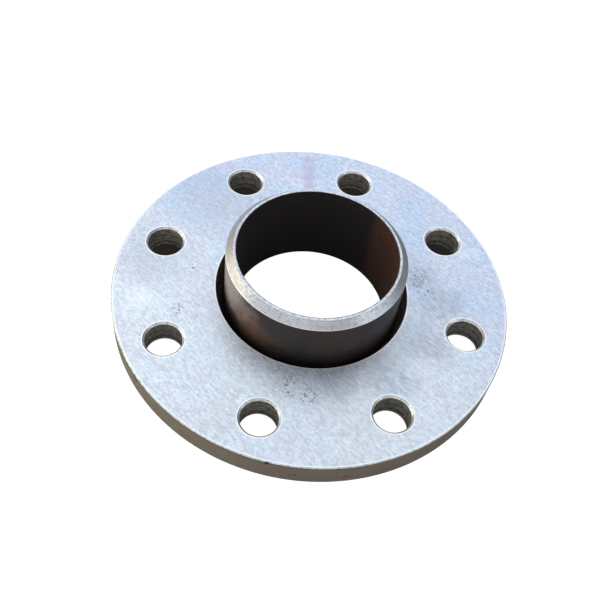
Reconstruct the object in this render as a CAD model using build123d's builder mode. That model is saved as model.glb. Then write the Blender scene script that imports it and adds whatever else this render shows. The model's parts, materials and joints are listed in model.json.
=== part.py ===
"""Weld-neck flange of the loose kind: a bolted plate that turns on a weld-neck collar.

Units are millimetres.  The origin is the centre of the collar's gasket face, and +Z runs up
the axis towards the weld end.  The plate lies on the collar's lap and turns about the neck.
"""

from build123d import *
import os

# ---- driving dimensions of the loose flange --------------------------------------------
FLANGE_OD = 200.0
FLANGE_THICKNESS = 14.0
RIM_CHAMFER = 0.5
BOLT_CIRCLE = 160.0
BOLT_COUNT = 8
BOLT_HOLE = 18.0
BOLT_HOLE_CHAMFER = 1.0
BORE_TOP_CHAMFER = 0.3

# ---- driving dimensions of the weld-neck collar ----------------------------------------
NECK_OD = 88.9
NECK_WALL = 5.0
NECK_RISE = 28.0  # from the flange's back face up to the weld end
BEVEL_ANGLE = 45.0  # between the weld bevel and a plane square to the axis
ROOT_FACE = 1.5  # flat ring left inside the weld bevel
ROOT_FILLET = 3.0  # between the lap and the neck
LAP_OD = 133.0
LAP_THICKNESS = 5.0
LAP_CHAMFER = 0.6

# ---- clearances ------------------------------------------------------------------------
NECK_CLEARANCE = 4.05  # radial, between the neck and the flange's bore
FILLET_CLEARANCE = 2.5  # radial, from the root fillet's foot to the flange's bore chamfer

# ---- sizes and heights that follow -----------------------------------------------------
flange_bottom = LAP_THICKNESS
flange_top = flange_bottom + FLANGE_THICKNESS
flange_bore = NECK_OD + 2 * NECK_CLEARANCE
bore_bottom_chamfer = ROOT_FILLET + FILLET_CLEARANCE - NECK_CLEARANCE

neck_radius = NECK_OD / 2
collar_bore_radius = neck_radius - NECK_WALL
root_face_radius = collar_bore_radius + ROOT_FACE
weld_end = flange_top + NECK_RISE


SAME_PLACE = 0.001  # edges this close to a height or radius count as lying on it


def circle_edges_at(part, height, radius):
    """Return the round edges of this radius that lie at this height."""
    circles = part.edges().filter_by(GeomType.CIRCLE)
    level = circles.filter_by_position(Axis.Z, height - SAME_PLACE, height + SAME_PLACE)
    return level.filter_by(lambda edge: abs(edge.radius - radius) < SAME_PLACE)


# ---- loose flange: the bolted plate ----------------------------------------------------
with BuildPart() as loose_flange:
    with BuildSketch(Plane.XY.offset(flange_bottom)):
        Circle(FLANGE_OD / 2)
        Circle(flange_bore / 2, mode=Mode.SUBTRACT)
    extrude(amount=FLANGE_THICKNESS)
    with Locations((0, 0, flange_top)):
        # The holes straddle the X and Y axes.
        with PolarLocations(BOLT_CIRCLE / 2, BOLT_COUNT, start_angle=180 / BOLT_COUNT):
            Hole(BOLT_HOLE / 2)
    for level in (flange_bottom, flange_top):
        chamfer(circle_edges_at(loose_flange, level, BOLT_HOLE / 2), BOLT_HOLE_CHAMFER)
        chamfer(circle_edges_at(loose_flange, level, FLANGE_OD / 2), RIM_CHAMFER)
    chamfer(circle_edges_at(loose_flange, flange_bottom, flange_bore / 2), bore_bottom_chamfer)
    chamfer(circle_edges_at(loose_flange, flange_top, flange_bore / 2), BORE_TOP_CHAMFER)

# ---- weld-neck collar: lap, neck and weld bevel, forged in one piece -------------------
with BuildPart() as weld_neck_collar:
    with BuildSketch():
        Circle(LAP_OD / 2)
    extrude(amount=LAP_THICKNESS)
    with BuildSketch(Plane.XY.offset(LAP_THICKNESS)):
        Circle(neck_radius)
    extrude(amount=weld_end - LAP_THICKNESS)
    with Locations((0, 0, weld_end)):
        Hole(collar_bore_radius)
    fillet(circle_edges_at(weld_neck_collar, LAP_THICKNESS, neck_radius), ROOT_FILLET)
    for level in (0, LAP_THICKNESS):
        chamfer(circle_edges_at(weld_neck_collar, level, LAP_OD / 2), LAP_CHAMFER)
    chamfer(
        circle_edges_at(weld_neck_collar, weld_end, neck_radius),
        length=neck_radius - root_face_radius,
        angle=BEVEL_ANGLE,
        reference=weld_neck_collar.faces().sort_by(Axis.Z)[-1],
    )

# ---- labels and files ------------------------------------------------------------------
os.makedirs("parts", exist_ok=True)
loose_flange.part.label = "loose_flange"
export_step(loose_flange.part, "parts/loose_flange.step")
weld_neck_collar.part.label = "weld_neck_collar"
export_step(weld_neck_collar.part, "parts/weld_neck_collar.step")
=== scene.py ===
"""A loose pipe flange on its weld-neck collar, dressed for a plain studio.

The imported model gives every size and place.  Two pieces are built here, one for each half of
the product: the zinc-plated flange and the black steel collar that it turns on.  Lengths are in
metres, and +Z runs up the pipe axis from the gasket face towards the weld end.
"""

import json
import logging
import math
from dataclasses import dataclass
from enum import Enum, IntEnum
from typing import Any

import bmesh
import bpy
from mathutils import Matrix, Vector, noise

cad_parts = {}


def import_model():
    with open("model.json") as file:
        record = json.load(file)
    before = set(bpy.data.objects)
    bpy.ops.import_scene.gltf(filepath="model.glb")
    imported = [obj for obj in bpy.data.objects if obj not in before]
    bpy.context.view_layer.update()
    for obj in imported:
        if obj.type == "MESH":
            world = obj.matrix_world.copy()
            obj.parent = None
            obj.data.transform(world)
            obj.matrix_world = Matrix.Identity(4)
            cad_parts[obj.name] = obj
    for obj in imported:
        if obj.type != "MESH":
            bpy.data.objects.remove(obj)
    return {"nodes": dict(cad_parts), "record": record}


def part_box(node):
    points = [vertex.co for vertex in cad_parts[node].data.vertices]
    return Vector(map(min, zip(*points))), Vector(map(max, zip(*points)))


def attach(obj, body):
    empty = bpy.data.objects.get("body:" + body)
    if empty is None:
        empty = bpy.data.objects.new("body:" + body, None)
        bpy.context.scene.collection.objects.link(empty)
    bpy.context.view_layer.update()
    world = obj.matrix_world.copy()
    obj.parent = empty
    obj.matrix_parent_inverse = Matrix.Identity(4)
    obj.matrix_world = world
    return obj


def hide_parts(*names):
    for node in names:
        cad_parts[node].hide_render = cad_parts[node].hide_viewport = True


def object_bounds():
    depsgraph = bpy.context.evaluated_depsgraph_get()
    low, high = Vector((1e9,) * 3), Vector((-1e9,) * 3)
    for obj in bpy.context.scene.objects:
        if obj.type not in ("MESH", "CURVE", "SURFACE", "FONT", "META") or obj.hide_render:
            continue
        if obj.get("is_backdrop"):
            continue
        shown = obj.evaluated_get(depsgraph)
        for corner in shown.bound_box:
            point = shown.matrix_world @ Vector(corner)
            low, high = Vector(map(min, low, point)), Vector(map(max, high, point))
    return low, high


LOG = logging.getLogger("weld_neck_flange")

MM = 0.001
FULL_TURN = 2 * math.pi
UP = Vector((0, 0, 1))
CENTRE = Vector((0, 0, 0))
SAME_PLACE = 0.002 * MM
SHARP_ANGLE = math.radians(28)

# Nearly all of a noise's values lie between these two.
NOISE_LOW, NOISE_HIGH = 0.3, 0.7
# The stretch of a grain noise over which bright steel turns dull.
DULL_GRAIN = (0.4, 0.62)

Colour = tuple[float, float, float]
# A radius and a height.
ProfilePoint = tuple[float, float]
# A round area's x, y and reach, in millimetres.
Area = tuple[float, float, float]


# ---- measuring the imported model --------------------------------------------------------


@dataclass(frozen=True)
class CadRings:
    """The radii and heights of a round CAD node's corners."""

    node: bpy.types.Object

    def corners(self) -> list[Vector]:
        """Return the node's corners."""
        return [vert.co for vert in self.node.data.vertices]

    def radii(self, low: float, high: float) -> list[float]:
        """Return the radius of every corner between two heights."""
        low, high = low - SAME_PLACE, high + SAME_PLACE
        return [co.xy.length for co in self.corners() if low <= co.z <= high]

    def bottom(self) -> float:
        """Return the node's lowest height."""
        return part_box(self.node.name)[0].z

    def top(self) -> float:
        """Return the node's highest height."""
        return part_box(self.node.name)[1].z

    def bore_radius(self) -> float:
        """Return the smallest radius of the whole node."""
        return min(self.radii(self.bottom(), self.top()))

    def outer_radius(self) -> float:
        """Return the largest radius of the whole node."""
        return max(self.radii(self.bottom(), self.top()))

    def highest(self, radius: float) -> float:
        """Return the highest height at which a radius is found."""
        near = [co.z for co in self.corners() if abs(co.xy.length - radius) < SAME_PLACE]
        return max(near)


@dataclass(frozen=True)
class BoltPattern:
    """The flange's bolt holes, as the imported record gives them."""

    circle_radius: float
    count: int
    hole_radius: float

    @classmethod
    def from_record(cls, record: dict[str, Any], mount_name: str) -> "BoltPattern":
        """Read the pattern from the record's mount of that name.

        Args:
            record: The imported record.
            mount_name: The bolt pattern's name.

        Returns:
            The pattern, in metres.
        """
        found = next(mount for mount in record["mounts"] if mount["name"] == mount_name)
        dims = found["dims"]
        return cls(dims["pcd_mm"] / 2 * MM, dims["count"], dims["hole_r_mm"] * MM)

    @property
    def pitch(self) -> float:
        """The angle from one hole to the next."""
        return FULL_TURN / self.count


# ---- spun meshes -----------------------------------------------------------------------


class SpunMesh:
    """A mesh put together from outlines that are spun about upright axes."""

    def __init__(self) -> None:
        """Start with no geometry."""
        self.bm = bmesh.new()

    def spin(
        self, profile: list[ProfilePoint], zone: int, steps: int, angle: float = FULL_TURN
    ) -> None:
        """Add an outline spun about the pipe axis.

        Args:
            profile: The open outline's (radius, height) points.
            zone: The material slot that the faces take.
            steps: How many faces go round.
            angle: How far the outline turns.
        """
        band = bmesh.new()
        verts = [band.verts.new((radius, 0, height)) for radius, height in profile]
        edges = [band.edges.new(pair) for pair in zip(verts, verts[1:])]
        bmesh.ops.spin(
            band,
            geom=verts + edges,
            cent=CENTRE,
            axis=UP,
            dvec=CENTRE,
            angle=angle,
            steps=steps,
            use_merge=angle == FULL_TURN,
        )
        for face in band.faces:
            face.material_index = zone
        mesh = bpy.data.meshes.new("band")
        band.to_mesh(mesh)
        band.free()
        self.bm.from_mesh(mesh)
        bpy.data.meshes.remove(mesh)

    def make_object(self, name: str, finishes: list["Finish"]) -> bpy.types.Object:
        """Close the seams and turn the mesh into an object.

        Args:
            name: The object's name.
            finishes: The finish of each zone, in the zones' order.

        Returns:
            The new object, linked to the scene.
        """
        bmesh.ops.remove_doubles(self.bm, verts=self.bm.verts[:], dist=SAME_PLACE)
        bmesh.ops.recalc_face_normals(self.bm, faces=self.bm.faces[:])
        open_count = sum(edge.is_boundary for edge in self.bm.edges)
        mesh = bpy.data.meshes.new(name)
        self.bm.to_mesh(mesh)
        self.bm.free()
        for finish in finishes:
            mesh.materials.append(finish.material())
        mesh.shade_smooth()
        mesh.set_sharp_from_angle(angle=SHARP_ANGLE)
        made = bpy.data.objects.new(name, mesh)
        bpy.context.scene.collection.objects.link(made)
        LOG.info("%s: %d faces, %d open edges", name, len(mesh.polygons), open_count)
        return made


def steps_between(start: float, end: float, count: int) -> list[float]:
    """Return count + 1 evenly spaced values from start to end."""
    return [start + (end - start) * index / count for index in range(count + 1)]


def unevenness(point: Vector, size: float, depth: float) -> float:
    """Return a smooth random offset at a point.

    Args:
        point: The place on the surface.
        size: The width of one swelling.
        depth: The largest offset.

    Returns:
        An offset between minus and plus the depth.
    """
    return depth * noise.noise(point / size)


# ---- shader trees ----------------------------------------------------------------------


def opaque(colour: Any) -> Any:
    """Return a colour of three numbers with full alpha added, and a socket as it is."""
    return (*colour, 1.0) if isinstance(colour, tuple) and len(colour) == 3 else colour


class ShaderTree:
    """A node tree that is being filled with shader nodes."""

    def __init__(self, tree: bpy.types.NodeTree) -> None:
        """Wrap a tree."""
        self.tree = tree

    def feed(self, socket: bpy.types.NodeSocket, value: Any) -> None:
        """Link a socket, or set its value.

        Args:
            socket: The input socket.
            value: An output socket to link, or a plain number, colour or vector.
        """
        if isinstance(value, bpy.types.NodeSocket):
            self.tree.links.new(value, socket)
        else:
            socket.default_value = value

    def add(self, kind: str, inputs: dict[str | int, Any] | None = None, **settings: Any) -> Any:
        """Add one node.

        Args:
            kind: The node's type name.
            inputs: A value or an output socket for each input, by name or by number.
            **settings: The node's own settings.

        Returns:
            The new node.
        """
        node = self.tree.nodes.new(kind)
        for name, value in settings.items():
            setattr(node, name, value)
        for name, value in (inputs or {}).items():
            self.feed(node.inputs[name], value)
        return node

    def math(self, operation: str, a: Any, b: Any = 0.0, c: Any = 0.0) -> bpy.types.NodeSocket:
        """Return the result of a Math node on up to three values."""
        inputs = dict(enumerate((a, b, c)))
        return self.add("ShaderNodeMath", inputs, operation=operation).outputs[0]

    def product(self, first: Any, *others: Any) -> bpy.types.NodeSocket:
        """Return the product of some values.

        Args:
            first: The first value.
            *others: The values that it is multiplied by.

        Returns:
            The product's socket.
        """
        result = first
        for other in others:
            result = self.math("MULTIPLY", result, other)
        return result

    def noise(
        self, position: Any, scale: float, detail: float = 3.0, roughness: float = 0.55
    ) -> bpy.types.NodeSocket:
        """Return a noise value between 0 and 1.

        Args:
            position: The point to read the noise at.
            scale: Features per metre.
            detail: How many finer octaves are added.
            roughness: How strong the finer octaves are.

        Returns:
            The noise value's socket.
        """
        inputs = {"Vector": position, "Scale": scale, "Detail": detail, "Roughness": roughness}
        return self.add("ShaderNodeTexNoise", inputs).outputs[0]

    def span(
        self, value: Any, low: Any, high: Any, start: float = 0.0, end: float = 1.0
    ) -> bpy.types.NodeSocket:
        """Return a value carried smoothly from one range to another.

        Args:
            value: The value to carry over.
            low: The value that gives start.
            high: The value that gives end.
            start: The result at low and below it.
            end: The result at high and above it.

        Returns:
            The new value's socket.
        """
        inputs = {"Value": value, 1: low, 2: high, 3: start, 4: end}
        return self.add("ShaderNodeMapRange", inputs, interpolation_type="SMOOTHSTEP").outputs[0]

    def vary(self, value: Any, start: float = 0.0, end: float = 1.0) -> bpy.types.NodeSocket:
        """Return a noise with its usual range carried over to another range."""
        return self.span(value, NOISE_LOW, NOISE_HIGH, start, end)

    def turned(self, position: Any, angle: Any) -> bpy.types.NodeSocket:
        """Return a position turned about the pipe axis."""
        inputs = {"Vector": position, "Angle": angle}
        return self.add("ShaderNodeVectorRotate", inputs, rotation_type="Z_AXIS").outputs[0]

    def stretched(self, position: Any, factors: Any) -> bpy.types.NodeSocket:
        """Return a position with each coordinate multiplied by its own factor."""
        inputs = {0: position, 1: factors}
        return self.add("ShaderNodeVectorMath", inputs, operation="MULTIPLY").outputs[0]

    def mix(self, factor: Any, a: Any, b: Any, blend: str = "MIX") -> bpy.types.NodeSocket:
        """Return a blend of two colours.

        Args:
            factor: How much of the second colour is used.
            a: The first colour.
            b: The second colour.
            blend: The blend mode's name.

        Returns:
            The blended colour's socket.
        """
        node = self.add("ShaderNodeMix", data_type="RGBA", blend_type=blend)
        for index, value in {0: factor, 6: opaque(a), 7: opaque(b)}.items():
            self.feed(node.inputs[index], value)
        return node.outputs[2]

    def shade(self, colour: Any, amount: Any) -> bpy.types.NodeSocket:
        """Return a colour made lighter or darker by a changing amount."""
        grey = self.add("ShaderNodeCombineColor", {0: amount, 1: amount, 2: amount}).outputs[0]
        return self.mix(1.0, colour, grey, "MULTIPLY")

    def place(self, effect: "Effect", position: Any, **inputs: Any) -> Any:
        """Place an effect's node group with its own values.

        Args:
            effect: The effect.
            position: The place that the effect is worked out for.
            **inputs: A value or an output socket for each of its other inputs.

        Returns:
            The placed group's outputs, by name.
        """
        node = self.tree.nodes.new("ShaderNodeGroup")
        node.node_tree = effect.tree()
        for name, value in {"Position": position, **inputs}.items():
            self.feed(node.inputs[name], value)
        return node.outputs

    def mask(self, effect: "Effect", position: Any, **inputs: Any) -> bpy.types.NodeSocket:
        """Place an effect's node group and return its mask."""
        return self.place(effect, position, **inputs)["Mask"]

    def relief(self, surface: Any, height: Any, strength: float, depth: float) -> None:
        """Feed a surface's Normal from a height.

        Args:
            surface: The surface shader node.
            height: The height's socket, from 0 to 1.
            strength: How much of the relief shows.
            depth: The relief's depth.
        """
        inputs = {"Height": height, "Strength": strength, "Distance": depth}
        self.feed(surface.inputs["Normal"], self.add("ShaderNodeBump", inputs).outputs[0])


# ---- effects shared by several finishes ------------------------------------------------


class SocketKind(Enum):
    """What a group's socket carries."""

    NUMBER = "NodeSocketFloat"
    POINT = "NodeSocketVector"


@dataclass(frozen=True)
class GroupSocket:
    """One named socket of an effect group."""

    name: str
    kind: SocketKind = SocketKind.NUMBER


POSITION = GroupSocket("Position", SocketKind.POINT)
SCALE = GroupSocket("Scale")
MASK = GroupSocket("Mask")


class Effect:
    """A shader node group that is built once and placed in each material that needs it."""

    title: str
    takes: tuple[GroupSocket, ...] = (POSITION,)
    gives: tuple[GroupSocket, ...] = (MASK,)

    def tree(self) -> bpy.types.NodeTree:
        """Return the group's tree, building it the first time.

        Returns:
            The tree that every material shares.
        """
        found = bpy.data.node_groups.get(self.title)
        if found is not None:
            return found
        made = bpy.data.node_groups.new(self.title, "ShaderNodeTree")
        for sockets, way in ((self.takes, "INPUT"), (self.gives, "OUTPUT")):
            for socket in sockets:
                made.interface.new_socket(
                    name=socket.name, in_out=way, socket_type=socket.kind.value
                )
        shader = ShaderTree(made)
        taken = shader.add("NodeGroupInput").outputs
        given = shader.add("NodeGroupOutput").inputs
        for name, value in self.build(shader, taken).items():
            shader.feed(given[name], value)
        return made

    def build(self, shader: ShaderTree, taken: Any) -> dict[str, Any]:
        """Add the effect's nodes.

        Args:
            shader: The group's tree.
            taken: The group's inputs, by name.

        Returns:
            The socket for each of the group's outputs, by name.
        """
        raise NotImplementedError


class PolarPlace(Effect):
    """Radius, angle and height about the pipe axis."""

    title = "polar_place"
    gives = (GroupSocket("Radius"), GroupSocket("Angle"), GroupSocket("Height"))

    def build(self, shader: ShaderTree, taken: Any) -> dict[str, Any]:
        """Split the position about the Z axis.

        Args:
            shader: The group's tree.
            taken: The group's inputs, by name.

        Returns:
            The socket for each of the group's outputs, by name.
        """
        x, y, z = shader.add("ShaderNodeSeparateXYZ", {0: taken["Position"]}).outputs[:3]
        squares = shader.math("MULTIPLY_ADD", y, y, shader.math("MULTIPLY", x, x))
        return {
            "Radius": shader.math("SQRT", squares),
            "Angle": shader.math("ARCTAN2", y, x),
            "Height": z,
        }


class Clouds(Effect):
    """Soft patches, as plating and scale have."""

    title = "soft_clouds"
    takes = (POSITION, SCALE, GroupSocket("Softness"))

    def build(self, shader: ShaderTree, taken: Any) -> dict[str, Any]:
        """Carry a slow noise over to full contrast about its middle.

        Args:
            shader: The group's tree.
            taken: The group's inputs, by name.

        Returns:
            The socket for each of the group's outputs, by name.
        """
        value = shader.noise(taken["Position"], taken["Scale"], detail=3.0, roughness=0.6)
        low = shader.math("SUBTRACT", 0.5, taken["Softness"])
        high = shader.math("ADD", 0.5, taken["Softness"])
        return {"Mask": shader.span(value, low, high)}


class Specks(Effect):
    """Small spots of mixed sizes."""

    title = "scattered_specks"
    takes = (POSITION, SCALE, GroupSocket("Size"))
    wobble_scale = 1100.0
    wobble_share = 0.3
    fade = (-0.12, 0.04)

    def build(self, shader: ShaderTree, taken: Any) -> dict[str, Any]:
        """Keep the ragged cores of scattered cells, some larger than others.

        Args:
            shader: The group's tree.
            taken: The group's inputs, by name.

        Returns:
            The socket for each of the group's outputs, by name.
        """
        wobble = shader.noise(taken["Position"], self.wobble_scale, 2.0)
        cell_inputs = {"Vector": taken["Position"], "Scale": taken["Scale"]}
        cells = shader.add("ShaderNodeTexVoronoi", cell_inputs).outputs
        chance = shader.add("ShaderNodeSeparateColor", {0: cells["Color"]}).outputs[0]
        radius = shader.product(taken["Size"], chance, chance)
        edge = shader.math("MULTIPLY_ADD", wobble, self.wobble_share, cells["Distance"])
        return {"Mask": shader.span(shader.math("SUBTRACT", radius, edge), *self.fade)}


class Scratches(Effect):
    """Fine broken lines that run one way."""

    title = "fine_scratches"
    takes = (POSITION, SCALE, GroupSocket("Turn"), GroupSocket("Width"))
    stretch = (0.04, 1.0, 1.0)
    break_scale = 70.0
    break_range = (0.5, 0.62)

    def build(self, shader: ShaderTree, taken: Any) -> dict[str, Any]:
        """Keep the middle contour of a long drawn-out noise and break it up.

        Args:
            shader: The group's tree.
            taken: The group's inputs, by name.

        Returns:
            The socket for each of the group's outputs, by name.
        """
        turned = shader.turned(taken["Position"], taken["Turn"])
        strands = shader.noise(shader.stretched(turned, self.stretch), taken["Scale"], 1.0)
        away = shader.math("ABSOLUTE", shader.math("SUBTRACT", strands, 0.5))
        line = shader.span(away, 0.0, taken["Width"], 1.0, 0.0)
        breaks = shader.span(shader.noise(turned, self.break_scale, 2.0), *self.break_range)
        return {"Mask": shader.product(line, breaks)}


class ToolLines(Effect):
    """Uneven tool lines along one coordinate, such as a height or a radius."""

    title = "tool_lines"
    takes = (POSITION, GroupSocket("Along"), SCALE)
    wander_scale = 25.0
    wander_share = 0.6

    def build(self, shader: ShaderTree, taken: Any) -> dict[str, Any]:
        """Read a noise that changes along the coordinate and wanders a little.

        Args:
            shader: The group's tree.
            taken: The group's inputs, by name.

        Returns:
            The socket for each of the group's outputs, by name.
        """
        wander = shader.noise(taken["Position"], self.wander_scale, 2.0)
        along = shader.math("MULTIPLY", taken["Along"], taken["Scale"])
        along = shader.math("MULTIPLY_ADD", wander, self.wander_share, along)
        line_inputs = {"W": along, "Scale": 1.0, "Detail": 3.0, "Roughness": 0.7}
        lines = shader.add("ShaderNodeTexNoise", line_inputs, noise_dimensions="1D")
        return {"Mask": shader.vary(lines.outputs[0])}


class EdgeWearAndShade(Effect):
    """A band beside an edge, broken by noise, for edge wear and for painted shade lines."""

    title = "edge_wear_and_shade"
    takes = (POSITION, GroupSocket("Distance"), GroupSocket("Width"))
    ragged_scale = 350.0
    fade = (0.2, 1.0)

    def build(self, shader: ShaderTree, taken: Any) -> dict[str, Any]:
        """Fade with distance from the edge, further where the noise is high.

        Args:
            shader: The group's tree.
            taken: The group's inputs, by name.

        Returns:
            The socket for each of the group's outputs, by name.
        """
        ragged = shader.math("ADD", shader.noise(taken["Position"], self.ragged_scale), 0.5)
        away = shader.math("ABSOLUTE", taken["Distance"])
        share = shader.math("DIVIDE", away, shader.product(taken["Width"], ragged))
        return {"Mask": shader.span(share, *self.fade, 1.0, 0.0)}


class Patch(Effect):
    """A soft area about a point, with a ragged outline."""

    title = "soft_patch"
    takes = (POSITION, GroupSocket("Middle", SocketKind.POINT), GroupSocket("Reach"))
    ragged_scale = 90.0
    fade = (0.15, 1.0)

    def build(self, shader: ShaderTree, taken: Any) -> dict[str, Any]:
        """Fade with distance from the middle.

        Args:
            shader: The group's tree.
            taken: The group's inputs, by name.

        Returns:
            The socket for each of the group's outputs, by name.
        """
        ends = {0: taken["Position"], 1: taken["Middle"]}
        away = shader.add("ShaderNodeVectorMath", ends, operation="DISTANCE").outputs["Value"]
        ragged = shader.math("ADD", shader.noise(taken["Position"], self.ragged_scale), 0.5)
        share = shader.math("DIVIDE", away, shader.product(taken["Reach"], ragged))
        return {"Mask": shader.span(share, *self.fade, 1.0, 0.0)}


# ---- finishes --------------------------------------------------------------------------


@dataclass(frozen=True)
class Gloss:
    """How a finish takes the light: its range of roughness, and its fine relief."""

    smooth: float
    rough: float
    relief: float
    depth: float
    metallic: float = 0.0
    specular: float = 0.5


class Finish:
    """A named surface finish that can make its material."""

    title: str
    gloss: Gloss

    def material(self) -> bpy.types.Material:
        """Return the finish's material, building it the first time.

        Returns:
            The material that every piece with this finish shares.
        """
        found = bpy.data.materials.get(self.title)
        if found is not None:
            return found
        made = bpy.data.materials.new(self.title)
        made.use_nodes = True
        made.node_tree.nodes.clear()
        shader = ShaderTree(made.node_tree)
        position = shader.add("ShaderNodeTexCoord").outputs["Object"]
        surface = shader.add("ShaderNodeBsdfPrincipled")
        output = shader.add("ShaderNodeOutputMaterial")
        shader.feed(output.inputs["Surface"], surface.outputs["BSDF"])
        self.dress(shader, position, surface)
        return made

    def dress(self, shader: ShaderTree, position: Any, surface: Any) -> None:
        """Feed the surface shader.

        Args:
            shader: The material's tree.
            position: The object's own coordinates.
            surface: The surface shader node.
        """
        raise NotImplementedError

    def polish(
        self, shader: ShaderTree, surface: Any, colour: Any, grain: Any, height: Any
    ) -> None:
        """Feed the surface shader its colour, and the finish's gloss.

        Args:
            shader: The material's tree.
            surface: The surface shader node.
            colour: The base colour's socket.
            grain: The noise that the roughness follows.
            height: The relief's height.
        """
        shader.feed(surface.inputs["Base Color"], colour)
        roughness = shader.vary(grain, self.gloss.smooth, self.gloss.rough)
        shader.feed(surface.inputs["Roughness"], roughness)
        surface.inputs["Metallic"].default_value = self.gloss.metallic
        surface.inputs["Specular IOR Level"].default_value = self.gloss.specular
        shader.relief(surface, height, self.gloss.relief, self.gloss.depth)


@dataclass(frozen=True)
class Mark:
    """A named place on a surface that looks different."""

    x: float
    y: float
    z: float
    reach: float

    def point(self) -> Vector:
        """Return the mark's middle."""
        return Vector((self.x, self.y, self.z))

    def mask(self, shader: ShaderTree, position: Any) -> bpy.types.NodeSocket:
        """Return the mask of a soft patch about the mark."""
        return shader.mask(Patch(), position, Middle=self.point(), Reach=self.reach)


@dataclass(frozen=True)
class ColourOverlay:
    """A colour laid over some areas of the flange's faces."""

    colour: Colour
    strength: float
    areas: tuple[Area, ...]


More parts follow.
